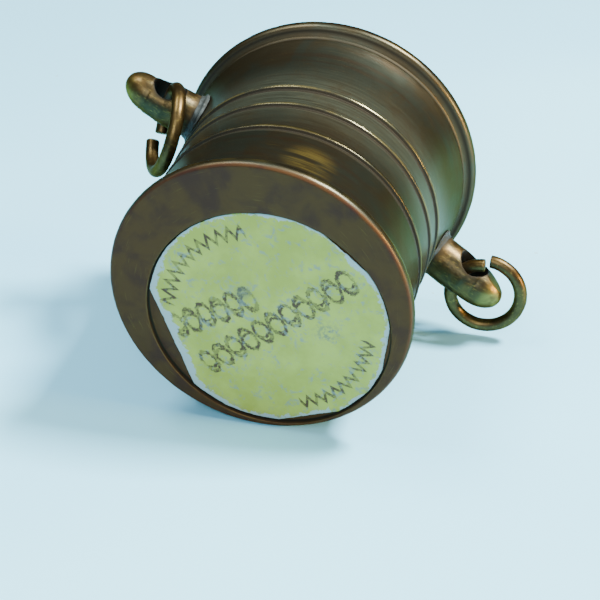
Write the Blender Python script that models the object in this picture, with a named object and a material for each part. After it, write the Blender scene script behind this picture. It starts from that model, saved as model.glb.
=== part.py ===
"""A miniature turned brass mortar: an open, waisted cup on a flanged foot, with a ring in each side lug.

Lengths are in millimetres until MM turns them into metres. The origin is the centre of the foot's underside,
+Z runs up the turning axis to the mouth, and the lugs point along -X (left) and +X (right).
"""

import math

import bmesh
import bpy
from mathutils import Matrix, Vector

MM = 0.001

# The turned body
FOOT_R = 15.0  # the foot's lip, the driving size of the whole piece
FOOT_FLAT_R = 14.55  # where the flat underside ends
FOOT_LIP_Z = 0.8
FOOT_LIP_TOP = 1.15
FILLET_TOP = 2.9  # where the hollow above the foot runs out into the wall
WAIST_R = 13.88
FLARE_FROM_Z = 6.0
COVE_EDGE = (15.6, 26.6)  # the thin edge below the rolled rim: radius, height
RIM_BEAD_R = 0.9
RIM_CENTRE = (15.85, 28.6)
MOUTH_R = 14.7
WALL = 1.15
CUP_FLOOR_Z = 3.6
CUP_CORNER_R = 5.0

# The three fine ridges: height, how far they stand out, half width, depth of the groove on their foot side
RIDGES = ((9.6, 0.18, 0.28, 0.14), (14.25, 0.20, 0.27, 0.09), (17.8, 0.23, 0.29, 0.09))

# The shallow recess under the foot, turned off centre, and the label in it
RECESS_R = 12.1
RECESS_CENTRE = (1.75, 1.54)
RECESS_DEPTH = 0.5
LABEL_R = 12.0
LABEL_THICK = 0.12
LABEL_GAP = 0.05
# Straight cuts in the label's outline: direction in degrees, distance from the label's centre
LABEL_CUTS = ((133.0, 10.5), (42.0, 11.55), (-21.0, 11.75), (-77.0, 11.7))

# The lugs, measured along each one from the wall
LUG_R = 2.4
LUG_ROOT = -1.4  # buried end, trimmed to the wall
LUG_ROOT_X = 14.9
LUG_HOLE_R = 1.75
LUG_HOLE_MOUTH_R = 2.25  # where the flared mouth leaves the cutter, beyond the shank
LUG_HOLE_MOUTH_DEPTH = 0.95
LUG_HOLE_RUN_OUT = 0.4  # how far the cutter passes the shank on each side
LUG_STEP = 0.05  # the small step where the nose starts
FIT_GAP = 0.06  # between pieces that are soldered or stuck together
# Height of the root, droop in degrees and distance of the hole along the lug
LUGS = {"left": (22.9, 6.0, 3.95), "right": (23.9, 14.0, 4.4)}
# Where the taper starts, where the nose starts, the radius there, the tip, and how full the nose is
LUG_ENDS = {"left": (3.9, 5.6, 2.0, 8.45, 2.2), "right": (4.3, 5.7, 2.25, 9.05, 1.9)}
# How far the nose's tip was filed over, towards the foot and along the hole
LUG_LEANS = {"left": (-0.45, 0.15), "right": (0.0, 0.0)}

SOLDER_FOOT_R = 2.85
SOLDER_TOP = 0.55

# The rings, bent from round wire with a small open joint
WIRE_R = 0.73
# Bend radius, centre from the hole's centre, normal, where the joint is and half its opening, both in degrees
# round the ring, and how far its ends are sprung apart sideways
RINGS = {
    "left": (4.44, (2.02, 0.56, -3.63), (-0.916, 0.108, -0.387), 228.3, 6.0, -0.80),
    "right": (3.84, (2.94, 0.58, -0.23), (-0.087, -0.055, -0.995), 118.3, 3.0, -1.16),
}

# Fineness of the turned and bent surfaces
BODY_SIDES = 56
LUG_SIDES = 28
NOSE_STEPS = 7
RING_STEPS = 36
WIRE_SIDES = 10


def clear_scene():
    for thing in list(bpy.data.objects):
        bpy.data.objects.remove(thing, do_unlink=True)


def arc(centre, radius, start, end, count):
    """Points on a circle from one angle to another, in degrees, both ends included."""
    angles = [math.radians(start + (end - start) * i / (count - 1)) for i in range(count)]
    return [(centre[0] + radius * math.cos(a), centre[1] + radius * math.sin(a)) for a in angles]


def plain_wall_radius(height):
    """The outer wall without its ridges: a straight waist that flares towards the rim."""
    rise = max(height - FLARE_FROM_Z, 0.0) / (COVE_EDGE[1] - FLARE_FROM_Z)
    flare = COVE_EDGE[0] - WAIST_R
    return WAIST_R + flare * (0.54 * rise**2 + 0.46 * rise**6)


def ridge_points():
    """The wall's outline from the foot's fillet to the cove edge, with each groove and ridge."""
    points = []
    for height, stand, half, groove in RIDGES:
        wall = plain_wall_radius(height)
        points += [
            (plain_wall_radius(height - 2.4 * half), height - 2.4 * half),
            (wall - groove, height - 1.7 * half),
            (wall - groove, height - 1.2 * half),
            (wall + 0.75 * stand, height - 0.6 * half),
            (wall + stand, height),
            (wall + 0.7 * stand, height + 0.6 * half),
            (plain_wall_radius(height + 1.3 * half), height + 1.3 * half),
        ]
    return points


def body_outline():
    """Radius and height from the axis under the foot, up the outside, over the rim and down into the cup."""
    outline = [(0.0, 0.0), (FOOT_FLAT_R, 0.0)]
    edge = FOOT_R - FOOT_FLAT_R
    outline += [
        (FOOT_FLAT_R + edge * math.sin(a), FOOT_LIP_Z * (1.0 - math.cos(a)))
        for a in (math.radians(30), math.radians(60), math.radians(90))
    ]
    outline.append((FOOT_R - 0.03, FOOT_LIP_Z + 0.2))
    drop = FILLET_TOP - FOOT_LIP_TOP
    for i in range(5):
        up = i / 4
        outline.append((WAIST_R + (FOOT_R - 0.22 - WAIST_R) * (1.0 - up) ** 2.6, FOOT_LIP_TOP + drop * up))
    outline += ridge_points()
    outline += [(plain_wall_radius(z), z) for z in (20.0, 21.6, 23.0, 24.2, 25.2, 26.0)]
    outline.append(COVE_EDGE)
    outline += [(COVE_EDGE[0] - 0.16, COVE_EDGE[1] + 0.25), (COVE_EDGE[0] - 0.02, COVE_EDGE[1] + 0.72)]
    outline += arc(RIM_CENTRE, RIM_BEAD_R, -72.0, 118.0, 8)
    outline.append((MOUTH_R, RIM_CENTRE[1] + 0.1))
    for height in (26.0, 22.0, 15.0):
        outline.append((min(plain_wall_radius(height) - WALL, MOUTH_R), height))
    inner = WAIST_R - WALL
    outline += arc((inner - CUP_CORNER_R, CUP_FLOOR_Z + CUP_CORNER_R), CUP_CORNER_R, 0.0, -90.0, 6)
    outline.append((0.0, CUP_FLOOR_Z))
    return outline


def lathe(name, outline, sides, closed_ring=False):
    """A solid turned about Z. The outline starts and ends on the axis, or closes on itself off the axis."""
    shape = bmesh.new()
    rows = []
    for radius, height in outline:
        if radius < 1e-6:
            rows.append([shape.verts.new((0.0, 0.0, height * MM))])
            continue
        corners = arc((0.0, 0.0), radius * MM, 0.0, 360.0, sides + 1)[:-1]
        rows.append([shape.verts.new((x, y, height * MM)) for x, y in corners])
    pairs = list(zip(rows, rows[1:]))
    if closed_ring:
        pairs.append((rows[-1], rows[0]))
    for low, high in pairs:
        for i in range(sides):
            j = (i + 1) % sides
            corners = [low[i % len(low)], low[j % len(low)], high[j % len(high)], high[i % len(high)]]
            face = list(dict.fromkeys(corners))
            if len(face) > 2:
                shape.faces.new(face)
    return finish_mesh(name, shape)


def finish_mesh(name, shape):
    """Turns a bmesh into a smooth-shaded object with its sharp edges kept."""
    mesh = bpy.data.meshes.new(name)
    shape.to_mesh(mesh)
    shape.free()
    mesh.shade_smooth()
    mesh.set_sharp_from_angle(angle=math.radians(40))
    thing = bpy.data.objects.new(name, mesh)
    bpy.context.scene.collection.objects.link(thing)
    return thing


def make_cutter(thing):
    thing.hide_render = True
    thing.display_type = "WIRE"
    return thing


def cut(thing, cutter):
    modifier = thing.modifiers.new("cut_" + cutter.name, "BOOLEAN")
    modifier.operation = "DIFFERENCE"
    modifier.solver = "EXACT"
    modifier.object = cutter


def material(name, colour, roughness, metallic):
    surface = bpy.data.materials.new(name)
    surface.use_nodes = True
    shader = surface.node_tree.nodes["Principled BSDF"]
    shader.inputs["Base Color"].default_value = (*colour, 1.0)
    shader.inputs["Roughness"].default_value = roughness
    shader.inputs["Metallic"].default_value = metallic
    return surface


def paint(thing, surface):
    thing.data.materials.append(surface)
    return thing


def make_body():
    body = lathe("mortar_body", body_outline(), BODY_SIDES)
    outline = [(0.0, -1.0), (RECESS_R, -1.0), (RECESS_R, RECESS_DEPTH), (0.0, RECESS_DEPTH)]
    recess = make_cutter(lathe("recess_cutter", outline, BODY_SIDES))
    recess.location = Vector((*RECESS_CENTRE, 0.0)) * MM
    cut(body, recess)
    return paint(body, material("aged_brass", (0.33, 0.25, 0.12), 0.35, 1.0))


def label_radius(angle):
    """How far the label reaches at this angle, in degrees: round, less the straight cuts."""
    reach = LABEL_R
    for direction, distance in LABEL_CUTS:
        turn = math.cos(math.radians(angle - direction))
        if turn > 0.2:
            reach = min(reach, distance / turn)
    return reach


def make_label():
    shape = bmesh.new()
    top = RECESS_DEPTH - LABEL_GAP
    rim = []
    for i in range(BODY_SIDES):
        angle = 360.0 * i / BODY_SIDES
        reach = label_radius(angle)
        turn = math.radians(angle)
        corner = Vector((reach * math.cos(turn), reach * math.sin(turn), top - LABEL_THICK))
        rim.append(shape.verts.new(corner * MM))
    sheet = shape.faces.new(list(reversed(rim)))
    raised = bmesh.ops.extrude_face_region(shape, geom=[sheet])
    corners = [v for v in raised["geom"] if isinstance(v, bmesh.types.BMVert)]
    bmesh.ops.translate(shape, verts=corners, vec=(0.0, 0.0, LABEL_THICK * MM))
    bmesh.ops.recalc_face_normals(shape, faces=shape.faces)
    label = finish_mesh("base_label", shape)
    label.location = Vector((*RECESS_CENTRE, 0.0)) * MM
    return paint(label, material("label_paper", (0.66, 0.68, 0.42), 0.75, 0.0))


def lug_outline(side):
    """A straight shank, a taper to the shoulder, a small step and a bullet nose, from the root to the tip."""
    taper, shoulder, shoulder_r, tip, fullness = LUG_ENDS[side]
    nose_r = shoulder_r - LUG_STEP
    outline = [(0.0, LUG_ROOT), (LUG_R, LUG_ROOT), (LUG_R, taper), (shoulder_r, shoulder)]
    for i in range(NOSE_STEPS):
        along = math.sin(math.radians(90.0 * i / NOSE_STEPS))
        height = shoulder + LUG_STEP + (tip - shoulder - LUG_STEP) * along
        outline.append((nose_r * math.sqrt(1.0 - along**fullness), height))
    outline.append((0.0, tip))
    return outline


def lean_nose(lug, side):
    """Pushes the nose over sideways, more and more towards its tip, as an uneven filing leaves it."""
    _, shoulder, _, tip, _ = LUG_ENDS[side]
    lean = Vector((*LUG_LEANS[side], 0.0)) * MM
    for vertex in lug.data.vertices:
        share = (vertex.co.z / MM - shoulder) / (tip - shoulder)
        vertex.co += lean * max(share, 0.0)


def lug_place(side):
    """Where a lug stands: its own +Z points out of the wall and droops towards the foot."""
    root_z, droop, _ = LUGS[side]
    turn = math.pi if side == "left" else 0.0
    outwards = Matrix.Rotation(turn, 4, "Z") @ Matrix.Translation(Vector((LUG_ROOT_X, 0.0, root_z)) * MM)
    return outwards @ Matrix.Rotation(math.radians(90.0 + droop), 4, "Y")


def make_wall_plug():
    """The wall's outside, a little larger, that trims the lugs and the solder to it."""
    heights = [17.0 + 0.8 * i for i in range(13)]
    outline = [(0.0, heights[0])]
    outline += [(plain_wall_radius(z) + FIT_GAP, z) for z in heights]
    bead = RIM_BEAD_R + FIT_GAP
    outline += [(COVE_EDGE[0] + FIT_GAP, COVE_EDGE[1] + 0.7)] + arc(RIM_CENTRE, bead, -70.0, 0.0, 4)
    outline.append((0.0, RIM_CENTRE[1]))
    return make_cutter(lathe("wall_plug", outline, BODY_SIDES))


def make_lug(side, plug):
    place = lug_place(side)
    lug = lathe("lug_" + side, lug_outline(side), LUG_SIDES)
    lean_nose(lug, side)
    lug.matrix_world = place
    half = LUG_R + LUG_HOLE_RUN_OUT
    throat = half - LUG_HOLE_MOUTH_DEPTH
    outline = [
        (0.0, -half), (LUG_HOLE_MOUTH_R, -half), (LUG_HOLE_R, -throat),
        (LUG_HOLE_R, throat), (LUG_HOLE_MOUTH_R, half), (0.0, half),
    ]
    hole = make_cutter(lathe(f"lug_{side}_hole_cutter", outline, LUG_SIDES))
    across = Matrix.Translation((0.0, 0.0, LUGS[side][2] * MM)) @ Matrix.Rotation(math.radians(90.0), 4, "X")
    hole.matrix_world = place @ across
    cut(lug, hole)
    cut(lug, plug)
    return paint(lug, material("lug_brass_" + side, (0.36, 0.28, 0.13), 0.32, 1.0))


def make_solder(side, plug):
    """The pale solder fillet round a lug's root, trimmed to the wall."""
    inner = LUG_R + FIT_GAP
    outline = [(inner, LUG_ROOT), (SOLDER_FOOT_R, LUG_ROOT), (SOLDER_FOOT_R, 0.1), (inner + 0.12, SOLDER_TOP),
               (inner, SOLDER_TOP)]
    solder = lathe("solder_" + side, outline, LUG_SIDES, closed_ring=True)
    solder.matrix_world = lug_place(side)
    cut(solder, plug)
    return paint(solder, material("solder_" + side, (0.42, 0.46, 0.46), 0.5, 0.8))


def hole_centre(side):
    return lug_place(side) @ Vector((0.0, 0.0, LUGS[side][2] * MM))


def make_ring(side):
    """A ring bent from round wire, open at its joint, threaded through its lug's hole.

    Its origin is the middle of the hole, which it swings about.
    """
    radius, centre, normal, joint_at, opening, sprung = RINGS[side]
    axis = Vector(normal).normalized()
    across = axis.cross(Vector((0.0, 1.0, 0.0))).normalized()
    along = axis.cross(across)
    shape = bmesh.new()
    loops = []
    for i in range(RING_STEPS + 1):
        done = i / RING_STEPS
        turn = math.radians(joint_at + opening + (360.0 - 2.0 * opening) * done)
        outwards = across * math.cos(turn) + along * math.sin(turn)
        middle = Vector(centre) + outwards * radius + axis * (sprung * (done - 0.5))
        loops.append([
            shape.verts.new((middle + outwards * (WIRE_R * math.cos(a)) + axis * (WIRE_R * math.sin(a))) * MM)
            for a in (math.tau * j / WIRE_SIDES for j in range(WIRE_SIDES))
        ])
    for near, far in zip(loops, loops[1:]):
        for j in range(WIRE_SIDES):
            k = (j + 1) % WIRE_SIDES
            shape.faces.new((near[j], near[k], far[k], far[j]))
    shape.faces.new(list(reversed(loops[0])))
    shape.faces.new(loops[-1])
    bmesh.ops.recalc_face_normals(shape, faces=shape.faces)
    ring = finish_mesh("ring_" + side, shape)
    ring.location = hole_centre(side)
    return paint(ring, material("ring_brass_" + side, (0.38, 0.27, 0.12), 0.3, 1.0))


def main():
    clear_scene()
    make_body()
    make_label()
    plug = make_wall_plug()
    for side in LUGS:
        make_lug(side, plug)
        make_solder(side, plug)
        make_ring(side)


main()
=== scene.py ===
"""The looks of a miniature turned brass mortar, lying on its side on a pale table.

Shapes are built in millimetres and scaled to metres when each piece is finished. Every piece stands for one
CAD node and rides on that node's body. The row stands on its foot with +Z up, so the table is a tilted plane.
"""

import math

import bmesh
import bpy
from mathutils import Matrix, Vector, noise


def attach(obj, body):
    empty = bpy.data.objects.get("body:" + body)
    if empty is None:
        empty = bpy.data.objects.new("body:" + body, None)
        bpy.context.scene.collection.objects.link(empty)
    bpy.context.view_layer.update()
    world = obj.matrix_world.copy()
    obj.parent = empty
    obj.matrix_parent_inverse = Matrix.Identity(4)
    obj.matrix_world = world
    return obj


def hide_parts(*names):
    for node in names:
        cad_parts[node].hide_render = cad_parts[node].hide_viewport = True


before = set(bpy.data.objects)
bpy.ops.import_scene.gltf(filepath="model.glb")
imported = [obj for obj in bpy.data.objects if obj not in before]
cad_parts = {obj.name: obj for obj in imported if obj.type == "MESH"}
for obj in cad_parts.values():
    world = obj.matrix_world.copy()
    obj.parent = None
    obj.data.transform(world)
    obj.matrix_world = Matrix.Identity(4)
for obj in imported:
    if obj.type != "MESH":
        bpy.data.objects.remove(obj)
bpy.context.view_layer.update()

MM = 0.001

# The turned body, as the frame has it
FOOT_R = 15.0
FOOT_FLAT_R = 14.55
FOOT_LIP_Z = 0.8
FOOT_LIP_TOP = 1.15
LIP_TOP_IN = 0.22  # how far the lip leans in at its top
FILLET_TOP = 2.9
WAIST_R = 13.88
FLARE_FROM_Z = 6.0
COVE_EDGE = (15.6, 26.6)
RIM_BEAD_R = 0.9
RIM_CENTRE = (15.85, 28.6)
MOUTH_R = 14.7
WALL = 1.15
CUP_FLOOR_Z = 3.6
CUP_CORNER_R = 5.0
# Height, how far it stands out, half width and depth of the groove on its foot side
RIDGES = ((9.6, 0.18, 0.28, 0.14), (14.25, 0.20, 0.27, 0.09), (17.8, 0.23, 0.29, 0.09))
RECESS_R = 12.1
RECESS_CENTRE = Vector((1.75, 1.54, 0.0))
RECESS_DEPTH = 0.5

# The label in the recess. Cuts are a direction in degrees and a distance from the label's centre.
LABEL_R = 12.0
LABEL_THICK = 0.12
LABEL_GAP = 0.05
LABEL_SINK = 0.03  # how far its front is set in, to leave room for cockles
LABEL_CUTS = ((133.0, 10.5), (42.0, 11.55), (-21.0, 11.75), (-77.0, 11.7))

# The lugs, measured along each one from the wall
LUG_R = 2.4
LUG_ROOT = -1.4
LUG_ROOT_X = 14.9
LUG_HOLE_R = 1.75
LUG_HOLE_FLARE = 0.50
LUG_HOLE_FLARE_DEPTH = 1.1
LUG_HOLE_RUN_OUT = 0.5  # how far the cutter passes the shank on each side
LUG_STEP = 0.05  # the small step where the nose starts
FIT_GAP = 0.06
LUGS = {"left": (22.9, 6.0, 3.95), "right": (23.9, 14.0, 4.4)}  # root height, droop, hole's distance along
# Where the taper starts, where the nose starts, the radius there, the tip, and how full the nose is
LUG_ENDS = {"left": (3.9, 5.6, 2.0, 8.45, 2.2), "right": (4.3, 5.7, 2.25, 9.05, 1.9)}
LUG_LEANS = {"left": (-0.45, 0.15), "right": (0.0, 0.0)}  # how far the tip leans, in the lug's own X and Y
# A flat filed on the right nose: where it faces, the nose's middle and the distance between them
FLAT_FACES = Vector((0.41, -0.90, 0.15)).normalized()
FLAT_FROM = Vector((20.44, 0.0, 22.52))
FLAT_AT = 2.02
FLAT_SHARE = 0.94  # how much of what stands past the flat is filed off
SOLDER_FOOT_R = 2.85
SOLDER_TOP = 0.55
SOLDER_EDGE = 0.05  # how thick it still is at its edges

# The rings: bend radius, centre from the hole's centre, normal, where the joint is and half its opening, both
# in degrees round the ring, and how far its ends are sprung apart sideways
WIRE_R = 0.73
WIRE_CHAMFER = 0.12
RINGS = {
    "left": (4.44, (2.02, 0.56, -3.63), (-0.916, 0.108, -0.387), 228.3, 6.0, -0.80),
    "right": (3.84, (2.94, 0.58, -0.23), (-0.087, -0.055, -0.995), 118.3, 3.0, -1.16),
}

BODY_SIDES = 288
LUG_SIDES = 72
RING_STEPS = 220
WIRE_SIDES = 28
LUG_VOXEL = 0.075
SOLDER_VOXEL = 0.06
DENT_DEPTH = 0.014
NICK_DEPTH = 0.10

# The camera and the table. The table's own axes are right and away as the camera sees them, and up.
LENS = 77.2
SENSOR = 36.0
CAMERA_AT = Vector((-5.65, -74.90, -96.05))
CAMERA_RIGHT = Vector((0.8637, -0.4384, 0.2489)).normalized()
CAMERA_AHEAD = Vector((0.0735, 0.5980, 0.7981)).normalized()
TABLE_UP = Vector((-0.4644, -0.8834, 0.0628)).normalized()
TABLE_AWAY = TABLE_UP.cross(CAMERA_RIGHT).normalized()
TABLE_RIGHT = TABLE_AWAY.cross(TABLE_UP)
TABLE_LEVEL = -14.95
TABLE_HALF = 900.0

# Each light's name, place on the table's axes, size, power and colour
LIGHTS = (
    ("left_ceiling", (-170.0, 50.0, 390.0), 150.0, 1.7, (1.0, 0.99, 0.96)),
    ("right_ceiling", (210.0, 20.0, 330.0), 80.0, 5.8, (1.0, 0.98, 0.94)),
    ("front_fill", (-80.0, -330.0, 260.0), 220.0, 1.4, (0.93, 0.97, 1.0)),
    ("warm_window", (420.0, -110.0, 100.0), 60.0, 3.4, (1.0, 0.58, 0.20)),
)

# Where the patina is rubbed through, on the wall above the foot
RUB_SPOT = (-2.6, -13.7, 4.6)

# The label's ornament, from the label's centre: where each row of beads starts and ends, how many beads it
# has and half their height
BEAD_ROWS = (
    ((-7.6, 6.6, 0.0), (-2.3, -1.9, 0.0), 6, 1.5),
    ((-3.0, 8.8, 0.0), (4.6, -9.4, 0.0), 11, 1.45),
)
BEAD_LINE = 0.16  # half a line's width
BEAD_WIDTH = 0.94  # of its share of the row
BEAD_OUTLINE = 0.86  # where its outline runs, as a share of the way from its middle to its edge
BEAD_WAVE = 0.45  # how far the line through the row swings, as a share of half the beads' height
# Each zigzag's radius, first and last direction in degrees, swing to each side and number of teeth
ZIGZAGS = (
    (9.95, -26.0, 52.0, 0.62, 12),
    (9.85, 156.0, 179.0, 0.55, 4),
    (9.85, -179.0, -136.0, 0.55, 7),
)
ZIGZAG_LINE = 0.34  # half its line's width
# Its damage: the scuffed middle, a dark smudge and a small chip
SCUFFED_AT = (-2.4, -1.6, 0.0)
SMUDGE_AT = (5.3, -2.4, 0.0)
CHIP_AT = (-3.5, -1.5, 0.0)


# ---------------------------------------------------------------- mesh tools

def ease(low, high, value):
    """0 below low, 1 above high and smooth between."""
    share = min(max((value - low) / (high - low), 0.0), 1.0)
    return share * share * (3.0 - 2.0 * share)


def spread(start, end, count):
    """Evenly spaced numbers, both ends included."""
    return [start + (end - start) * i / (count - 1) for i in range(count)]


def arc(centre, radius, start, end, count):
    """Points on a circle from one angle to another, in degrees."""
    return [
        (centre[0] + radius * math.cos(math.radians(a)), centre[1] + radius * math.sin(math.radians(a)))
        for a in spread(start, end, count)
    ]


def make_object(name, mesh):
    thing = bpy.data.objects.new(name, mesh)
    bpy.context.scene.collection.objects.link(thing)
    return thing


def from_bmesh(name, shape):
    mesh = bpy.data.meshes.new(name)
    bmesh.ops.recalc_face_normals(shape, faces=shape.faces)
    shape.to_mesh(mesh)
    shape.free()
    return make_object(name, mesh)


def mend_normals(thing):
    """Turns every face outwards."""
    shape = bmesh.new()
    shape.from_mesh(thing.data)
    bmesh.ops.recalc_face_normals(shape, faces=shape.faces)
    shape.to_mesh(thing.data)
    shape.free()


def skin_rows(name, rows):
    """A mesh over rows of points. A row of one point closes the shape there."""
    points = [p for row in rows for p in row]
    starts = [0]
    for row in rows:
        starts.append(starts[-1] + len(row))
    faces = []
    for k in range(len(rows) - 1):
        low, high = rows[k], rows[k + 1]
        sides = max(len(low), len(high))
        for i in range(sides):
            j = (i + 1) % sides
            corners = [starts[k] + i % len(low), starts[k] + j % len(low)]
            corners += [starts[k + 1] + j % len(high), starts[k + 1] + i % len(high)]
            face = list(dict.fromkeys(corners))
            if len(face) > 2:
                faces.append(face)
    mesh = bpy.data.meshes.new(name)
    mesh.from_pydata(points, [], faces)
    mesh.validate()
    thing = make_object(name, mesh)
    mend_normals(thing)
    return thing


def lathe(name, outline, sides, closed_ring=False):
    """A solid turned about Z from (radius, height) points."""
    shape = bmesh.new()
    rows = []
    for radius, height in outline:
        turns = [math.tau * i / sides for i in range(sides)] if radius > 1e-6 else [0.0]
        rows.append([shape.verts.new((radius * math.cos(a), radius * math.sin(a), height)) for a in turns])
    pairs = list(zip(rows, rows[1:]))
    if closed_ring:
        pairs.append((rows[-1], rows[0]))
    for low, high in pairs:
        for i in range(sides):
            j = (i + 1) % sides
            corners = [low[i % len(low)], low[j % len(low)], high[j % len(high)], high[i % len(high)]]
            face = list(dict.fromkeys(corners))
            if len(face) > 2:
                shape.faces.new(face)
    return from_bmesh(name, shape)


def carve(thing, cutter):
    step = thing.modifiers.new("carve", "BOOLEAN")
    step.operation = "DIFFERENCE"
    step.solver = "EXACT"
    step.object = cutter


def remesh(thing, size, rounds):
    """Rounds every edge a little, as hand filing does."""
    step = thing.modifiers.new("voxels", "REMESH")
    step.mode = "VOXEL"
    step.voxel_size = size
    step = thing.modifiers.new("soften", "SMOOTH")
    step.factor = 0.5
    step.iterations = rounds


def apply_steps(thing):
    """Replaces the mesh by what its modifiers and its matrix make of it."""
    bpy.context.view_layer.update()
    graph = bpy.context.evaluated_depsgraph_get()
    mesh = bpy.data.meshes.new_from_object(thing.evaluated_get(graph))
    mesh.transform(thing.matrix_world)
    thing.modifiers.clear()
    thing.data = mesh
    thing.matrix_world = Matrix.Identity(4)


def swell(thing, amount):
    """Moves every vertex along its normal by what amount() gives for its place."""
    mesh = thing.data
    spots = [vertex.co.copy() for vertex in mesh.vertices]
    ways = [vertex.normal.copy() for vertex in mesh.vertices]
    moved = [spot + way * amount(spot) for spot, way in zip(spots, ways)]
    mesh.vertices.foreach_set("co", [number for spot in moved for number in spot])
    mesh.update()


def remove(*things):
    for thing in things:
        bpy.data.objects.remove(thing, do_unlink=True)


def store(thing, name, values):
    """One number for each vertex, which the material reads by name."""
    layer = thing.data.attributes.new(name, "FLOAT", "POINT")
    layer.data.foreach_set("value", values)


def finish_piece(thing, node, body, surface, sharp=35.0):
    """Scales the piece to metres, gives it its material and ties it to the frame."""
    thing.data.transform(Matrix.Scale(MM, 4))
    thing.data.shade_smooth()
    thing.data.set_sharp_from_angle(angle=math.radians(sharp))
    thing.data.materials.clear()
    thing.data.materials.append(surface)
    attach(thing, body)
    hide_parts(node)


# ---------------------------------------------------------------- material tools

class Shader:
    """A material whose nodes are written as nested calls. Lengths in it are millimetres."""

    def __init__(self, name):
        self.material = bpy.data.materials.new(name)
        self.material.use_nodes = True
        self.nodes = self.material.node_tree.nodes
        self.links = self.material.node_tree.links
        self.surface = self.nodes["Principled BSDF"]

    def feed(self, socket, value):
        if isinstance(value, bpy.types.NodeSocket):
            self.links.new(value, socket)
        elif isinstance(value, (tuple, list)) and socket.type == "RGBA":
            socket.default_value = (*value, 1.0)
        else:
            socket.default_value = value

    def set(self, **sockets):
        """Feeds the shader's sockets, named with underscores for spaces."""
        for name, value in sockets.items():
            self.feed(self.surface.inputs[name.replace("_", " ")], value)

    def maths(self, operation, *values):
        node = self.nodes.new("ShaderNodeMath")
        node.operation = operation
        for socket, value in zip(node.inputs, values):
            self.feed(socket, value)
        return node.outputs[0]

    def times(self, *values):
        made = values[0]
        for value in values[1:]:
            made = self.maths("MULTIPLY", made, value)
        return made

    def vector_maths(self, operation, *values):
        node = self.nodes.new("ShaderNodeVectorMath")
        node.operation = operation
        for socket, value in zip(node.inputs, values):
            self.feed(socket, value)
        return node.outputs["Value" if operation in ("DOT_PRODUCT", "LENGTH", "DISTANCE") else "Vector"]

    def place(self):
        """Where the point is in the piece, in millimetres."""
        node = self.nodes.new("ShaderNodeTexCoord")
        return self.vector_maths("MULTIPLY", node.outputs["Object"], (1000.0, 1000.0, 1000.0))

    def split(self, vector):
        node = self.nodes.new("ShaderNodeSeparateXYZ")
        self.feed(node.inputs[0], vector)
        return node.outputs

    def join(self, x, y, z):
        node = self.nodes.new("ShaderNodeCombineXYZ")
        for socket, value in zip(node.inputs, (x, y, z)):
            self.feed(socket, value)
        return node.outputs[0]

    def noise(self, where, scale, detail=3.0, roughness=0.55, distortion=0.0):
        node = self.nodes.new("ShaderNodeTexNoise")
        for name, value in (("Vector", where), ("Scale", scale), ("Detail", detail), ("Roughness", roughness),
                            ("Distortion", distortion)):
            self.feed(node.inputs[name], value)
        return node.outputs["Fac"]

    def ease(self, low, high, value):
        node = self.nodes.new("ShaderNodeMapRange")
        node.interpolation_type = "SMOOTHSTEP"
        for name, given in (("Value", value), ("From Min", low), ("From Max", high)):
            self.feed(node.inputs[name], given)
        return node.outputs["Result"]

    def between(self, share, start, end):
        node = self.nodes.new("ShaderNodeMapRange")
        for name, given in (("Value", share), ("To Min", start), ("To Max", end)):
            self.feed(node.inputs[name], given)
        return node.outputs["Result"]

    def mix(self, share, start, end):
        node = self.nodes.new("ShaderNodeMix")
        node.data_type = "RGBA"
        for name, given in (("Factor_Float", share), ("A_Color", start), ("B_Color", end)):
            self.feed(next(i for i in node.inputs if i.identifier == name), given)
        return next(o for o in node.outputs if o.identifier == "Result_Color")

    def mix_number(self, share, start, end):
        rest = self.maths("SUBTRACT", 1.0, share)
        return self.maths("ADD", self.times(rest, start), self.times(share, end))

    def stored(self, name):
        node = self.nodes.new("ShaderNodeAttribute")
        node.attribute_name = name
        return node.outputs["Fac"]

    def bump(self, height, depth_mm, strength=1.0, normal=None):
        node = self.nodes.new("ShaderNodeBump")
        self.feed(node.inputs["Height"], height)
        node.inputs["Distance"].default_value = depth_mm * MM
        node.inputs["Strength"].default_value = strength
        if normal is not None:
            self.links.new(normal, node.inputs["Normal"])
        return node.outputs["Normal"]

    def turned(self, where, along, across):
        """Coordinates that change slowly round Z and quickly along it, as marks left by turning do."""
        x, y, z = self.split(where)
        radius = self.maths("SQRT", self.maths("ADD", self.times(x, x), self.times(y, y)))
        level = self.times(self.maths("ADD", z, radius), across)
        return self.join(
            self.times(self.maths("DIVIDE", x, radius), along),
            self.times(self.maths("DIVIDE", y, radius), along), level)


# Colours, as reflectances. DIM_EDGE is a specular tint: it dims the metal seen at a grazing angle.
OLIVE = (0.052, 0.045, 0.026)
GREY_GREEN = (0.044, 0.051, 0.037)
# A painted sheen: the lighter grey-green laid over the middle of the wall.
PAINTED_SHEEN = (0.062, 0.073, 0.052)
RUSSET = (0.056, 0.034, 0.020)
UMBER = (0.062, 0.027, 0.010)
PLUM = (0.042, 0.016, 0.011)
# The next colour serves both soiling and painted shade: grooves, the cove under the rim, the lugs' holes and
# the solder's pits are darkened with it.
GRIME_AND_SHADE = (0.010, 0.009, 0.006)
BARE = (0.46, 0.36, 0.08)
DIM_EDGE = (0.45, 0.42, 0.33)
LUG_OLIVE = (0.090, 0.059, 0.022)
LUG_DARK = (0.037, 0.034, 0.019)
RING_OLIVE = (0.100, 0.068, 0.024)
RING_DARK = (0.056, 0.040, 0.018)
LABEL_FILM = (0.290, 0.297, 0.038)
LABEL_FILM_PALE = (0.350, 0.362, 0.060)
TORN_PAPER = (0.290, 0.350, 0.350)
SCUFF = (0.170, 0.215, 0.190)
INK = (0.060, 0.024, 0.008)
SOLDER_GREY = (0.046, 0.060, 0.060)
LABEL_DIRT = (0.110, 0.120, 0.090)
SOLDER_DARK = (0.024, 0.030, 0.028)
TABLE_COOL = (0.24, 0.69, 0.95)
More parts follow.
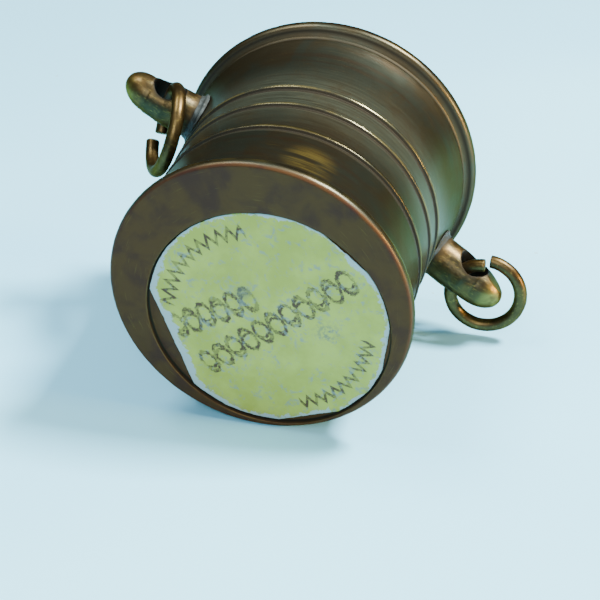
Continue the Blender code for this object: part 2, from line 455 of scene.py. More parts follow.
TABLE_PALE = (0.28, 0.76, 1.0)
TABLE_SPECK = (0.30, 0.33, 0.33)
ROOM_DIM = (0.06, 0.075, 0.08)
ROOM_BRIGHT = (0.32, 0.40, 0.47)


def make_turned_brass():
    """Old brass with turning marks, cloudy patina, brown underside and bare crests, with soiling and painted
    shade in the grooves, painted shade in the cove under the rim and a painted sheen on the middle of the
    wall.
    """
    s = Shader("turned_aged_brass")
    where = s.place()
    lines = s.noise(s.turned(where, 2.5, 9.0), 1.0, 4.0, 0.7)
    bands = s.noise(s.turned(where, 1.2, 0.9), 1.0, 3.0, 0.6)
    cloud = s.noise(where, 0.17, 4.0, 0.6, 0.6)
    blotch = s.noise(where, 0.30, 4.0, 0.55, 0.5)
    specks = s.noise(where, 2.6, 2.0, 0.5)
    hairs = s.noise(s.turned(where, 5.0, 22.0), 1.0, 2.0, 0.4)
    brown, wear, darkening = s.stored("brown"), s.stored("wear"), s.stored("darkening")
    wall = s.mix(s.ease(0.38, 0.66, cloud), OLIVE, GREY_GREEN)
    wall = s.mix(s.times(s.ease(0.50, 0.72, bands), 0.45), wall, RUSSET)
    height = s.split(where)[2]
    # Painted sheen: a band on the middle of the wall, streaked along the turning marks, is mixed towards the
    # lighter painted sheen colour and made a little less metallic.
    upper = s.times(s.ease(8.0, 16.0, height), s.ease(23.5, 18.0, height),
                    s.between(s.ease(0.35, 0.60, lines), 0.45, 1.0))
    wall = s.mix(s.times(upper, s.ease(0.22, 0.45, cloud)), wall, PAINTED_SHEEN)
    foot = s.mix(s.ease(0.42, 0.70, blotch), UMBER, PLUM)
    foot = s.mix(s.times(s.ease(0.60, 0.78, lines), 0.15), foot, OLIVE)
    colour = s.mix(brown, wall, foot)
    rub_near = s.ease(3.2, 1.0, s.vector_maths("DISTANCE", where, RUB_SPOT))
    rub = s.times(rub_near, s.ease(0.40, 0.58, bands), s.ease(0.36, 0.50, lines))
    worn = s.maths("MAXIMUM", s.times(wear, s.ease(0.35, 0.60, blotch), 0.35), s.times(rub, 0.4))
    colour = s.mix(worn, colour, BARE)
    scar = s.times(s.ease(0.68, 0.78, hairs), s.between(brown, 0.22, 0.16))
    colour = s.mix(scar, colour, BARE)
    specked = s.times(s.ease(0.74, 0.80, specks), 0.5)
    # Soiling and painted shade: the stored darkening, broken up a little by specks, plus loose dark specks.
    grime_and_shade = s.maths("MAXIMUM", s.times(darkening, s.ease(0.0, 0.35, specks)), specked)
    colour = s.mix(grime_and_shade, colour, GRIME_AND_SHADE)
    rough = s.between(lines, 0.26, 0.42)
    rough = s.maths("ADD", rough, s.times(brown, 0.16))
    rough = s.maths("ADD", rough, s.times(grime_and_shade, 0.3))
    rough = s.mix_number(s.maths("MINIMUM", s.times(wear, 1.6), 1.0), rough, 0.17)
    metal = s.maths("SUBTRACT", 0.9, s.maths("MAXIMUM", s.times(grime_and_shade, 0.7), s.times(brown, 0.45)))
    metal = s.maths("SUBTRACT", metal, s.times(upper, 0.22))
    normal = s.bump(lines, 0.010, 0.8)
    normal = s.bump(blotch, 0.03, 0.4, normal)
    s.set(Base_Color=colour, Roughness=rough, Metallic=metal, Normal=normal, Anisotropic=0.45,
          Specular_Tint=DIM_EDGE, Specular_IOR_Level=0.3)
    tangent = s.nodes.new("ShaderNodeTangent")
    tangent.direction_type = "RADIAL"
    tangent.axis = "Z"
    s.feed(s.surface.inputs["Tangent"], tangent.outputs[0])
    return s.material


def make_handled_brass(name, base, dark, grain):
    """Brass of the lugs and rings: handled smooth, dull in its pits, with painted shade inside the lugs'
    holes and on the rings where they pass through them, darker at the lugs' roots, bare where it is rubbed.
    """
    s = Shader(name)
    where = s.place()
    cloud = s.noise(where, 0.45, 4.0, 0.6, 0.5)
    marks = s.noise(s.vector_maths("MULTIPLY", where, grain), 1.0, 3.0, 0.6)
    pits = s.noise(where, 3.4, 3.0, 0.6)
    darkening, wear = s.stored("darkening"), s.stored("wear")
    colour = s.mix(s.ease(0.34, 0.66, cloud), base, dark)
    colour = s.mix(s.times(s.ease(0.55, 0.75, marks), 0.22), colour, BARE)
    colour = s.mix(s.times(wear, s.ease(0.35, 0.60, cloud), 0.35), colour, BARE)
    # Painted shade in the holes and on the rings inside them, darker lug roots, and soiled pits.
    grime_and_shade = s.maths("MAXIMUM", darkening, s.times(s.ease(0.66, 0.74, pits), 0.5))
    colour = s.mix(grime_and_shade, colour, GRIME_AND_SHADE)
    rough = s.maths("ADD", s.between(marks, 0.30, 0.46), s.times(grime_and_shade, 0.30))
    metal = s.maths("SUBTRACT", 0.95, s.times(grime_and_shade, 0.7))
    normal = s.bump(marks, 0.010, 0.6)
    normal = s.bump(pits, 0.012, 0.4, normal)
    s.set(Base_Color=colour, Roughness=rough, Metallic=metal, Normal=normal, Specular_Tint=DIM_EDGE)
    return s.material


def make_solder_grey():
    """Dull soft solder with green tarnish in its pits."""
    s = Shader("soft_solder")
    where = s.place()
    lumps = s.noise(where, 1.3, 4.0, 0.6)
    pits = s.noise(where, 4.5, 3.0, 0.6)
    colour = s.mix(s.ease(0.40, 0.60, lumps), SOLDER_GREY, SOLDER_DARK)
    colour = s.mix(s.times(s.ease(0.60, 0.70, pits), 0.8), colour, GRIME_AND_SHADE)
    s.set(Base_Color=colour, Roughness=s.between(pits, 0.55, 0.80), Metallic=0.6,
          Normal=s.bump(pits, 0.03, 0.6))
    return s.material


def stroke(s, distance, half_width):
    """Ink along a line, from the distance to it."""
    return s.ease(half_width * 1.25, half_width * 0.7, s.maths("ABSOLUTE", distance))


def window(s, value, low, high):
    """1 from low to high and 0 outside, with a short soft edge."""
    edge = 0.02 * (high - low)
    return s.times(s.ease(low, low + edge, value), s.ease(high, high - edge, value))


def bead_chain(s, where, start, end, count, tall):
    """A row of faded outlined beads, from one point to another on the label."""
    start, end = Vector(start), Vector(end)
    along = (end - start).normalized()
    across = Vector((-along.y, along.x, 0.0))
    from_start = s.vector_maths("SUBTRACT", where, tuple(start))
    u = s.vector_maths("DOT_PRODUCT", from_start, tuple(along))
    v = s.vector_maths("DOT_PRODUCT", from_start, tuple(across))
    length = (end - start).length
    step = length / count
    in_step = s.maths("SUBTRACT", s.maths("FRACT", s.times(u, 1.0 / step)), 0.5)
    wide = s.times(in_step, 2.0 / BEAD_WIDTH)
    high = s.times(v, 1.0 / tall)
    size = s.maths("SQRT", s.maths("ADD", s.times(wide, wide), s.times(high, high)))
    rim = stroke(s, s.times(s.maths("SUBTRACT", size, BEAD_OUTLINE), step / 2.0), BEAD_LINE)
    wave = s.times(s.maths("SINE", s.times(u, math.tau / (2.0 * step))), BEAD_WAVE * tall)
    core = stroke(s, s.maths("SUBTRACT", v, wave), BEAD_LINE)
    return s.times(s.maths("MAXIMUM", rim, core), window(s, u, 0.0, length))


def toothed_arc(s, radius, angle, radius_at, first, last, swing, teeth):
    """A zigzag line bent round the label's edge, between two directions in degrees."""
    start, end = math.radians(first), math.radians(last)
    turn = s.times(s.maths("SUBTRACT", angle, start), teeth / (end - start))
    zigzag = s.maths("SUBTRACT", s.maths("PINGPONG", turn, 0.5), 0.25)
    offset = s.maths("SUBTRACT", s.maths("SUBTRACT", radius, radius_at), s.times(zigzag, 4.0 * swing))
    return s.times(stroke(s, offset, ZIGZAG_LINE), window(s, angle, start, end))


def make_label_film():
    """A pale printed film on white paper, torn at the edge, scuffed, with faded ornament and no lettering."""
    s = Shader("label_film")
    where = s.vector_maths("SUBTRACT", s.place(), tuple(RECESS_CENTRE))
    x, y, _ = s.split(where)
    radius = s.maths("SQRT", s.maths("ADD", s.times(x, x), s.times(y, y)))
    # 0 towards -X. It jumps at +X, so the zigzag there is in two parts.
    angle = s.maths("ARCTAN2", s.times(y, -1.0), s.times(x, -1.0))
    cloud = s.noise(where, 0.25, 4.0, 0.6)
    fine = s.noise(where, 2.2, 4.0, 0.65)
    flake = s.noise(where, 0.9, 5.0, 0.7, 0.8)
    crumb = s.noise(where, 4.5, 3.0, 0.6)
    film = s.mix(s.ease(0.35, 0.65, cloud), LABEL_FILM, LABEL_FILM_PALE)
    fade = s.ease(0.42, 0.56, s.noise(where, 1.6, 5.0, 0.7))
    jitter = s.vector_maths("MULTIPLY", s.join(fine, crumb, 0.0), (0.7, 0.7, 0.0))
    shaken = s.vector_maths("ADD", where, s.vector_maths("SUBTRACT", jitter, (0.35, 0.35, 0.0)))
    marks = [bead_chain(s, shaken, *row) for row in BEAD_ROWS]
    marks += [toothed_arc(s, radius, angle, *zigzag) for zigzag in ZIGZAGS]
    ink = marks[0]
    for mark in marks[1:]:
        ink = s.maths("MAXIMUM", ink, mark)
    ink = s.times(ink, s.between(fade, 0.50, 1.0))
    colour = s.mix(ink, film, INK)
    edge = s.stored("edge")
    ragged = s.maths("ADD", edge, s.times(s.maths("SUBTRACT", flake, 0.5), 1.9))
    ragged = s.maths("ADD", ragged, s.times(s.ease(0.60, 0.40, cloud), 0.30))
    torn = s.ease(0.46, 0.34, ragged)
    scuffs = s.times(s.ease(0.51, 0.62, flake), s.ease(0.42, 0.56, fine))
    middle = s.ease(5.0, 1.0, s.vector_maths("DISTANCE", where, SCUFFED_AT))
    scuffs = s.maths("MAXIMUM", scuffs, s.times(middle, s.ease(0.52, 0.62, flake), 0.8))
    bare = s.maths("MAXIMUM", torn, scuffs)
    colour = s.mix(s.times(scuffs, 0.75), colour, SCUFF)
    colour = s.mix(torn, colour, TORN_PAPER)
    smudge_near = s.ease(1.9, 0.3, s.vector_maths("DISTANCE", where, SMUDGE_AT))
    chip_near = s.ease(1.1, 0.5, s.vector_maths("DISTANCE", where, CHIP_AT))
    darkening = s.maths("MAXIMUM", s.times(smudge_near, s.ease(0.42, 0.6, fine), 0.8), s.times(chip_near, 0.45))
    darkening = s.maths("MAXIMUM", darkening, s.times(s.ease(0.66, 0.74, crumb), 0.5))
    colour = s.mix(darkening, colour, LABEL_DIRT)
    s.set(Base_Color=colour, Roughness=s.between(bare, 0.50, 0.85), Metallic=0.0, Specular_IOR_Level=0.25,
          Normal=s.bump(s.maths("SUBTRACT", fine, s.times(bare, 0.6)), 0.03, 0.6))
    return s.material


# ---------------------------------------------------------------- the turned body

def plain_wall_radius(height):
    rise = max(height - FLARE_FROM_Z, 0.0) / (COVE_EDGE[1] - FLARE_FROM_Z)
    return WAIST_R + (COVE_EDGE[0] - WAIST_R) * (0.54 * rise**2 + 0.46 * rise**6)


def ridge_stand(height, ridge):
    """How far the outline leaves the plain wall near a ridge: a groove on the foot side, then the ridge."""
    middle, stand, half, groove = ridge
    knots = ((-2.4, 0.0), (-1.75, -groove), (-1.25, -groove), (-0.55, 0.78 * stand), (0.0, stand),
             (0.6, 0.68 * stand), (1.3, 0.0))
    at = (height - middle) / half
    for (a, low), (b, high) in zip(knots, knots[1:]):
        if a <= at <= b:
            return low + (high - low) * ease(a, b, at)
    return 0.0


def groove_dirt_and_shade(height):
    """Below each ridge, on the foot side, the groove is darkened: soiling, and painted shade for the groove's
    own shade.
    """
    deepest = 0.0
    for middle, _, half, _ in RIDGES:
        at = (height - middle) / half
        deepest = max(deepest, ease(-3.6, -2.4, at) * ease(-0.3, -0.8, at))
    return deepest


def wall_rows():
    """(radius, height, wear, darkening) up the outside of the wall, closer together at the ridges. The
    darkening is painted shade with soiling in the grooves.
    """
    heights = set(spread(FILLET_TOP, COVE_EDGE[1], 56))
    for middle, _, half, _ in RIDGES:
        heights -= {h for h in heights if middle - 3.9 * half < h < middle + 1.5 * half}
        heights |= set(spread(middle - 3.8 * half, middle + 1.4 * half, 30))
    rows = []
    for height in sorted(heights):
        stand = sum(ridge_stand(height, ridge) for ridge in RIDGES)
        crest = max(ease(0.45 * stand_out, 0.95 * stand_out, stand) for _, stand_out, _, _ in RIDGES)
        rows.append((plain_wall_radius(height) + stand, height, 0.6 * crest, groove_dirt_and_shade(height)))
    return rows


def outside_rows():
    """(radius, height, wear, darkening, brown) from the foot's flat edge over the rim and down into the cup.
    The darkening is painted shade in the cove under the rim, painted shade with soiling in the grooves, and
    makes the fillet above the foot lip and the inside of the cup darker.
    """
    rows = []
    edge = FOOT_R - FOOT_FLAT_R
    for a in spread(8, 90, 10):
        turn = math.radians(a)
        rows.append((FOOT_FLAT_R + edge * math.sin(turn), FOOT_LIP_Z * (1 - math.cos(turn)),
                     0.5 * ease(60, 84, a), 0.0, ease(60, 25, a)))
    for a in spread(10, 90, 6):
        turn = math.radians(a)
        rows.append((FOOT_R - LIP_TOP_IN * (1 - math.cos(turn)),
                     FOOT_LIP_Z + (FOOT_LIP_TOP - FOOT_LIP_Z) * math.sin(turn),
                     0.5 * ease(35, 15, a), 0.0, 0.0))
    for share in spread(0.06, 1.0, 14)[:-1]:
        rows.append((WAIST_R + (FOOT_R - LIP_TOP_IN - WAIST_R) * (1 - share) ** 2.6,
                     FOOT_LIP_TOP + (FILLET_TOP - FOOT_LIP_TOP) * share,
                     0.0, 0.55 * ease(0.0, 0.3, share) * ease(1.0, 0.5, share), 0.0))
    rows += [(*row, 0.0) for row in wall_rows()]
    # Painted shade in the cove under the rim bead: its middle rows get a strong darkening value.
    cove = [(COVE_EDGE[0] + 0.02, COVE_EDGE[1] + 0.10), (COVE_EDGE[0] - 0.06, COVE_EDGE[1] + 0.20),
            (COVE_EDGE[0] - 0.15, COVE_EDGE[1] + 0.34), (COVE_EDGE[0] - 0.16, COVE_EDGE[1] + 0.50),
            (COVE_EDGE[0] - 0.10, COVE_EDGE[1] + 0.66), (COVE_EDGE[0] + 0.02, COVE_EDGE[1] + 0.84)]
    rows += [(r, z, 0.6 if i == 0 else 0.0, 0.8 if 1 < i < 5 else 0.0, 0.0) for i, (r, z) in enumerate(cove)]
    # Painted shade on the underside of the rim bead, fading out round it.
    for i, (r, z) in enumerate(arc(RIM_CENTRE, RIM_BEAD_R, -72, 118, 30)):
        rows.append((r, z, 0.55 * ease(6, 12, i) * ease(22, 16, i), ease(4, 0, i), 0.0))
    rows.append((MOUTH_R + 0.25, RIM_CENTRE[1] + 0.42, 0.0, 0.3, 0.0))
    rows.append((MOUTH_R + 0.05, RIM_CENTRE[1] + 0.20, 0.0, 0.4, 0.0))
    for height in spread(RIM_CENTRE[1], CUP_FLOOR_Z + CUP_CORNER_R + 0.4, 24):
        rows.append((min(plain_wall_radius(height) - WALL, MOUTH_R), height, 0.0, 0.35, 0.5))
    inner = WAIST_R - WALL
    corner = (inner - CUP_CORNER_R, CUP_FLOOR_Z + CUP_CORNER_R)
    rows += [(r, z, 0.0, 0.45, 0.6) for r, z in arc(corner, CUP_CORNER_R, 0, -90, 14)]
    rows += [(r, CUP_FLOOR_Z, 0.0, 0.4, 0.6) for r in spread(inner - CUP_CORNER_R - 1.2, 0.6, 6)]
    return rows


def underside_rows():
    """(radius, height, wear, darkening, brown, share of the recess's offset), from the recess outwards. The
    darkening makes the recess's step darker.
    """
    rows = [(r, RECESS_DEPTH, 0.0, 0.0, 1.0, 1.0) for r in spread(0.8, RECESS_R - 0.2, 12)]
    rows.append((RECESS_R - 0.08, RECESS_DEPTH - 0.02, 0.0, 1.0, 0.6, 1.0))
    rows.append((RECESS_R, RECESS_DEPTH - 0.10, 0.0, 1.0, 0.6, 1.0))
    rows.append((RECESS_R, 0.10, 0.0, 0.5, 0.8, 1.0))
    rows.append((RECESS_R + 0.03, 0.03, 0.35, 0.0, 0.8, 1.0))
    rows += [(RECESS_R + 0.10 + (FOOT_FLAT_R - RECESS_R - 0.10) * share, 0.0, 0.0, 0.0, 1.0, 1.0 - share)
             for share in spread(0.0, 1.0, 16)]
    return rows


def make_body(surface):
    rows = underside_rows() + [(*row, 0.0) for row in outside_rows()]
    points, wear, darkening, brown = [[tuple(RECESS_CENTRE + Vector((0, 0, RECESS_DEPTH)))]], [0.0], [0.0], [0.35]
    for radius, height, worn, dirt_and_shade, browned, offset in rows:
        ring = []
        for i in range(BODY_SIDES):
            turn = math.tau * i / BODY_SIDES
            at = Vector((math.cos(turn), math.sin(turn), 0.0))
            dent = noise.noise(at * 9.0 + Vector((0, 0, height * 0.6)))
            nick = NICK_DEPTH * worn * max(0.0, noise.noise(at * 21.0 + Vector((3, 1, height * 0.3))) - 0.22)
            sway = DENT_DEPTH * dent * (1.0 - browned)
            spot = at * (radius + sway - nick) + RECESS_CENTRE * offset
            ring.append((spot.x, spot.y, height))
        points.append(ring)
        wear += [worn] * BODY_SIDES
        darkening += [dirt_and_shade] * BODY_SIDES
        brown += [browned] * BODY_SIDES
    points.append([(0.0, 0.0, CUP_FLOOR_Z)])
    body = skin_rows("turned_body", points)
    for name, values, last in (("wear", wear, 0.0), ("darkening", darkening, 0.4), ("brown", brown, 0.6)):
        store(body, name, values + [last])
    finish_piece(body, "mortar_body", "mortar", surface, sharp=50.0)


# ---------------------------------------------------------------- the label

def label_reach(turn):
    """How far the label goes at this angle in radians: round, cut straight in places and torn all round."""
    reach = LABEL_R
    for direction, distance in LABEL_CUTS:
        facing = math.cos(turn - math.radians(direction))
        if facing > 0.2:
            reach = min(reach, distance / facing)
    at = Vector((math.cos(turn), math.sin(turn), 0.0))
    ragged = 0.09 * noise.noise(at * 5.0) + 0.05 * noise.noise(at * 17.0) + 0.03 * noise.noise(at * 60.0)
    return reach - 0.10 + ragged


def make_label(surface):
    """A thin sheet stuck to the recess floor, cockled a little and lifting at its torn edge."""
    sides, steps = 720, 40
    back = RECESS_DEPTH - LABEL_GAP
    front = back - LABEL_THICK + LABEL_SINK
    torn_side = math.radians(LABEL_CUTS[0][0])
    front_rows, edge = [], []
    for k in range(1, steps + 1):
        share = (k / steps) ** 0.8
        row = []
        for i in range(sides):
            turn = math.tau * i / sides
            reach = label_reach(turn)
            at = RECESS_CENTRE + Vector((math.cos(turn), math.sin(turn), 0.0)) * reach * share
            cockle = 0.025 * noise.noise(at * 0.5) + 0.012 * noise.noise(at * 2.0)
            inwards = reach * (1.0 - share)
            lift = 0.05 * ease(0.7, 0.0, inwards) * max(0.0, noise.noise(at * 0.8 + Vector((9, 4, 1))))
            row.append((at.x, at.y, front + cockle - lift))
            edge.append(inwards - 0.45 * ease(0.55, 0.85, math.cos(turn - torn_side)))
        front_rows.append(row)
    middle = (RECESS_CENTRE.x, RECESS_CENTRE.y, front)
    rim = [(x, y, back) for x, y, _ in front_rows[-1]]
    rows = [[middle], *front_rows, rim, [(RECESS_CENTRE.x, RECESS_CENTRE.y, back)]]
    label = skin_rows("label_sheet", rows)
    store(label, "edge", [LABEL_R] + edge + [0.0] * sides + [LABEL_R])
    finish_piece(label, "base_label", "mortar", surface)


# ---------------------------------------------------------------- lugs, solder and rings

def lug_place(side):
    """Where a lug stands: its own +Z points out of the wall and droops towards the foot."""
    root_z, droop, _ = LUGS[side]
    turn = math.pi if side == "left" else 0.0
    outwards = Matrix.Rotation(turn, 4, "Z") @ Matrix.Translation((LUG_ROOT_X, 0.0, root_z))
    return outwards @ Matrix.Rotation(math.radians(90.0 + droop), 4, "Y")


def lug_outline(side):
    """A straight shank, a taper to the shoulder, a small step and a bullet nose."""
    taper, shoulder, shoulder_r, tip, fullness = LUG_ENDS[side]
    nose_r = shoulder_r - LUG_STEP
    outline = [(0.0, LUG_ROOT)] + [(LUG_R, z) for z in spread(LUG_ROOT, taper, 9)]
    for share in spread(0.1, 1.0, 10):
        outline.append((LUG_R + (shoulder_r - LUG_R) * share, taper + (shoulder - taper) * share))
    for turn in spread(0.0, 87.0, 26):
        along = math.sin(math.radians(turn))
        height = shoulder + LUG_STEP + (tip - shoulder - LUG_STEP) * along
        outline.append((nose_r * math.sqrt(1.0 - along**fullness), height))
    outline.append((0.0, tip))
    return outline


def hole_outline():
    """The cutter for a lug's hole: a bore whose mouths flare smoothly past the shank."""
    half = LUG_R + LUG_HOLE_RUN_OUT
    deep = LUG_HOLE_FLARE_DEPTH
    flare = [(LUG_HOLE_R + LUG_HOLE_FLARE * (1 - math.cos(math.radians(a))),
              half - deep + deep * math.sin(math.radians(a))) for a in spread(0, 85, 9)]
    upper = [*flare, (0.0, half)]
    return [(r, -z) for r, z in reversed(upper)] + upper


def wall_plug():
    """The wall's outside, a little larger, to trim lugs and solder to it."""
    heights = spread(16.0, COVE_EDGE[1], 24)
    outline = [(0.0, heights[0])] + [(plain_wall_radius(z) + FIT_GAP, z) for z in heights]
    outline.append((COVE_EDGE[0] + FIT_GAP, COVE_EDGE[1] + 0.7))
    outline += arc(RIM_CENTRE, RIM_BEAD_R + FIT_GAP, -70.0, 0.0, 8)
    outline.append((0.0, RIM_CENTRE[1]))
    return lathe("wall_plug", outline, 160)


def lean_nose(lug, side):
    """Pushes the nose over sideways, more and more towards its tip."""
    _, shoulder, _, tip, _ = LUG_ENDS[side]
    lean = Vector((*LUG_LEANS[side], 0.0))
    for vertex in lug.data.vertices:
        vertex.co += lean * max((vertex.co.z - shoulder) / (tip - shoulder), 0.0)


def file_flat(lug):
    """Flattens what stands past the filed plane."""
    for vertex in lug.data.vertices:
        past = (vertex.co - FLAT_FROM).dot(FLAT_FACES) - FLAT_AT
        if past > 0.0:
            vertex.co -= FLAT_FACES * past * FLAT_SHARE


def make_lug(side, plug, surface):
    place = lug_place(side)
    lug = lathe("bullet_lug_" + side, lug_outline(side), LUG_SIDES)
    lean_nose(lug, side)
    lug.matrix_world = place
    hole = lathe("hole_cutter_" + side, hole_outline(), 48)
    across = Matrix.Translation((0.0, 0.0, LUGS[side][2])) @ Matrix.Rotation(math.radians(90.0), 4, "X")
    hole.matrix_world = place @ across
    carve(lug, hole)
    carve(lug, plug)
    remesh(lug, LUG_VOXEL, 4)
    apply_steps(lug)
    remove(hole)
    if side == "right":
        file_flat(lug)
    back = place.inverted()
    along_hole = LUGS[side][2]
    darkening, worn = [], []
    for vertex in lug.data.vertices:
        spot = back @ vertex.co
        from_axis = math.hypot(spot.x, spot.z - along_hole)
        # Painted shade inside the hole, and darker towards the root by the wall.
        inside = ease(LUG_HOLE_R + 0.30, LUG_HOLE_R + 0.02, from_axis)
        root = 0.8 * ease(1.3, 0.4, spot.z)
        darkening.append(max(inside, root))
        worn.append(ease(6.4, 8.0, spot.z))
    store(lug, "darkening", darkening)
    store(lug, "wear", worn)
    swell(lug, lambda spot: 0.02 * noise.noise(spot * 1.1) + 0.010 * noise.noise(spot * 3.0) - 0.01)
    finish_piece(lug, "lug_" + side, "mortar", surface, sharp=60.0)


def make_solder(side, plug, surface):
    """The lumpy fillet between a lug and the wall."""
    inner = LUG_R + FIT_GAP
    drop = [(inner + (SOLDER_FOOT_R - inner) * (1 - math.cos(math.radians(a))) + SOLDER_EDGE,
             SOLDER_TOP - (SOLDER_TOP - SOLDER_EDGE) * math.sin(math.radians(a))) for a in spread(0, 90, 7)]
    outline = [(inner, LUG_ROOT), (SOLDER_FOOT_R, LUG_ROOT), *reversed(drop), (inner, SOLDER_TOP)]
    solder = lathe("solder_fillet_" + side, outline, LUG_SIDES, closed_ring=True)
    solder.matrix_world = lug_place(side)
    carve(solder, plug)
    remesh(solder, SOLDER_VOXEL, 3)
    apply_steps(solder)
    swell(solder, lambda spot: 0.05 * noise.noise(spot * 1.6) - 0.02)
    finish_piece(solder, "solder_" + side, "mortar", surface, sharp=60.0)


def ring_frame(side):
    """A ring's axis and the two directions across it that its angles are measured from."""
    axis = Vector(RINGS[side][2]).normalized()
    across = axis.cross(Vector((0.0, 1.0, 0.0))).normalized()
    return axis, across, axis.cross(across)


def make_ring(side, surface):
    """A ring bent from round wire, open at its joint, with snipped ends."""
    radius, centre, _, joint_at, opening, sprung = RINGS[side]
    hole = lug_place(side) @ Vector((0.0, 0.0, LUGS[side][2]))
    axis, across, along = ring_frame(side)
    length = math.radians(360.0 - 2.0 * opening) * radius
    # Share of the way round and width, with the ends rounded over
    first = [(WIRE_CHAMFER * (1 - math.sin(a)) / length, 1 - WIRE_CHAMFER / WIRE_R * (1 - math.cos(a)))
             for a in (math.radians(90.0 - 18.0 * k) for k in range(5))]
    steps = [(0.0, 0.0)] + first
    steps += [(i / RING_STEPS, 1.0) for i in range(2, RING_STEPS - 1)]
    steps += [(1.0 - share, width) for share, width in reversed(first)] + [(1.0, 0.0)]
    rows = []
    for done, width in steps:
        turn = math.radians(joint_at + opening + (360.0 - 2.0 * opening) * done)
        outwards = across * math.cos(turn) + along * math.sin(turn)
        middle = hole + Vector(centre) + outwards * radius + axis * (sprung * (done - 0.5))
        if width == 0.0:
            rows.append([tuple(middle)])
            continue
        row = []
        for i in range(WIRE_SIDES):
            a = math.tau * i / WIRE_SIDES
            way = outwards * math.cos(a) + axis * math.sin(a)
            dent = 0.018 * noise.noise((middle + way) * 0.9) + 0.008 * noise.noise((middle + way) * 4.0)
            row.append(tuple(middle + way * (WIRE_R * width + dent - 0.015)))
        rows.append(row)
    ring = skin_rows("wire_ring_" + side, rows)
    # Painted shade on the wire where it runs through the lug's hole.
    store(ring, "darkening", [0.55 * ease(2.6, 1.2, (vertex.co - hole).length) for vertex in ring.data.vertices])
    store(ring, "wear", [0.0] * len(ring.data.vertices))
    finish_piece(ring, "ring_" + side, "ring_" + side, surface, sharp=40.0)


# ---------------------------------------------------------------- the table, the light and the camera

def table_point(right, away, up):
    """A place given from the row's origin, in millimetres along the table's own axes."""
    return (TABLE_RIGHT * right + TABLE_AWAY * away + TABLE_UP * up) * MM


def make_table():
    """A pale sheet seen from above only, so that it doesn't block views from below it."""
    middle = table_point(0.0, 0.0, TABLE_LEVEL)
    right, away = TABLE_RIGHT * TABLE_HALF * MM, TABLE_AWAY * TABLE_HALF * MM
    mesh = bpy.data.meshes.new("table")
    corners = [middle - right - away, middle + right - away, middle + right + away, middle - right + away]
    mesh.from_pydata(corners, [], [(0, 1, 2, 3)])
    table = make_object("table", mesh)
    s = Shader("table_paper")
    where = s.place()
    broad = s.noise(where, 0.012, 2.0, 0.5)
    specks = s.noise(where, 0.5, 2.0, 0.5)
    colour = s.mix(s.ease(0.35, 0.65, broad), TABLE_COOL, TABLE_PALE)
    colour = s.mix(s.times(s.ease(0.76, 0.80, specks), 0.35), colour, TABLE_SPECK)
    s.set(Base_Color=colour, Roughness=0.7)
    clear = s.nodes.new("ShaderNodeBsdfTransparent")
    facing = s.nodes.new("ShaderNodeNewGeometry")
    choose = s.nodes.new("ShaderNodeMixShader")
    s.links.new(facing.outputs["Backfacing"], choose.inputs[0])
    s.links.new(s.surface.outputs[0], choose.inputs[1])
    s.links.new(clear.outputs[0], choose.inputs[2])
    s.links.new(choose.outputs[0], s.nodes["Material Output"].inputs["Surface"])
    mesh.materials.append(s.material)


def make_light(name, spot, size, power, colour):
    """A square soft light at a place on the table's axes, aimed at the row's origin."""
    lamp = bpy.data.lights.new(name, "AREA")
    lamp.size = size * MM
    lamp.energy = power
    lamp.color = colour
    thing = bpy.data.objects.new(name, lamp)
    bpy.context.scene.collection.objects.link(thing)
    thing.location = table_point(*spot)
    thing.rotation_euler = (-thing.location).to_track_quat("-Z", "Y").to_euler()


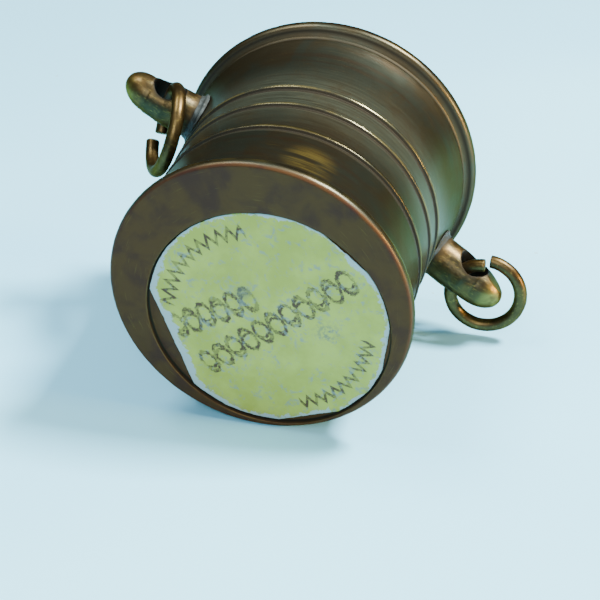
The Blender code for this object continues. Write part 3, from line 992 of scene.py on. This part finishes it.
def make_world():
    """A dim room, brighter overhead and on the camera's side."""
    world = bpy.data.worlds.new("room")
    bpy.context.scene.world = world
    world.use_nodes = True
    nodes, links = world.node_tree.nodes, world.node_tree.links
    where = nodes.new("ShaderNodeTexCoord")

    def facing(direction, low, high):
        dot = nodes.new("ShaderNodeVectorMath")
        dot.operation = "DOT_PRODUCT"
        links.new(where.outputs["Generated"], dot.inputs[0])
        dot.inputs[1].default_value = tuple(direction)
        ramp = nodes.new("ShaderNodeMapRange")
        ramp.interpolation_type = "SMOOTHSTEP"
        ramp.inputs["From Min"].default_value = low
        ramp.inputs["From Max"].default_value = high
        links.new(dot.outputs["Value"], ramp.inputs["Value"])
        return ramp.outputs["Result"]

    brightest = nodes.new("ShaderNodeMath")
    brightest.operation = "MAXIMUM"
    links.new(facing(TABLE_UP, 0.60, 0.95), brightest.inputs[0])
    links.new(facing(-TABLE_AWAY, 0.10, 0.80), brightest.inputs[1])
    blend = nodes.new("ShaderNodeMix")
    blend.data_type = "RGBA"
    links.new(brightest.outputs[0], blend.inputs[0])
    blend.inputs[6].default_value = (*ROOM_DIM, 1.0)
    blend.inputs[7].default_value = (*ROOM_BRIGHT, 1.0)
    links.new(blend.outputs[2], nodes["Background"].inputs["Color"])
    nodes["Background"].inputs["Strength"].default_value = 1.0


def make_camera():
    lens = bpy.data.cameras.new("camera")
    lens.lens = LENS
    lens.sensor_width = SENSOR
    lens.clip_start = 0.005
    lens.clip_end = 10.0
    camera = bpy.data.objects.new("camera", lens)
    bpy.context.scene.collection.objects.link(camera)
    up = CAMERA_RIGHT.cross(CAMERA_AHEAD)
    turn = Matrix((CAMERA_RIGHT, up, -CAMERA_AHEAD)).transposed().to_4x4()
    camera.matrix_world = Matrix.Translation(CAMERA_AT * MM) @ turn
    bpy.context.scene.camera = camera


def main():
    make_body(make_turned_brass())
    make_label(make_label_film())
    plug = wall_plug()
    lug_brass = make_handled_brass("filed_lug_brass", LUG_OLIVE, LUG_DARK, (1.2, 6.0, 6.0))
    ring_brass = make_handled_brass("drawn_ring_brass", RING_OLIVE, RING_DARK, (3.0, 3.0, 3.0))
    solder = make_solder_grey()
    for side in LUGS:
        make_lug(side, plug, lug_brass)
        make_solder(side, plug, solder)
        make_ring(side, ring_brass)
    remove(plug)
    make_table()
    make_world()
    for light in LIGHTS:
        make_light(*light)
    make_camera()


main()
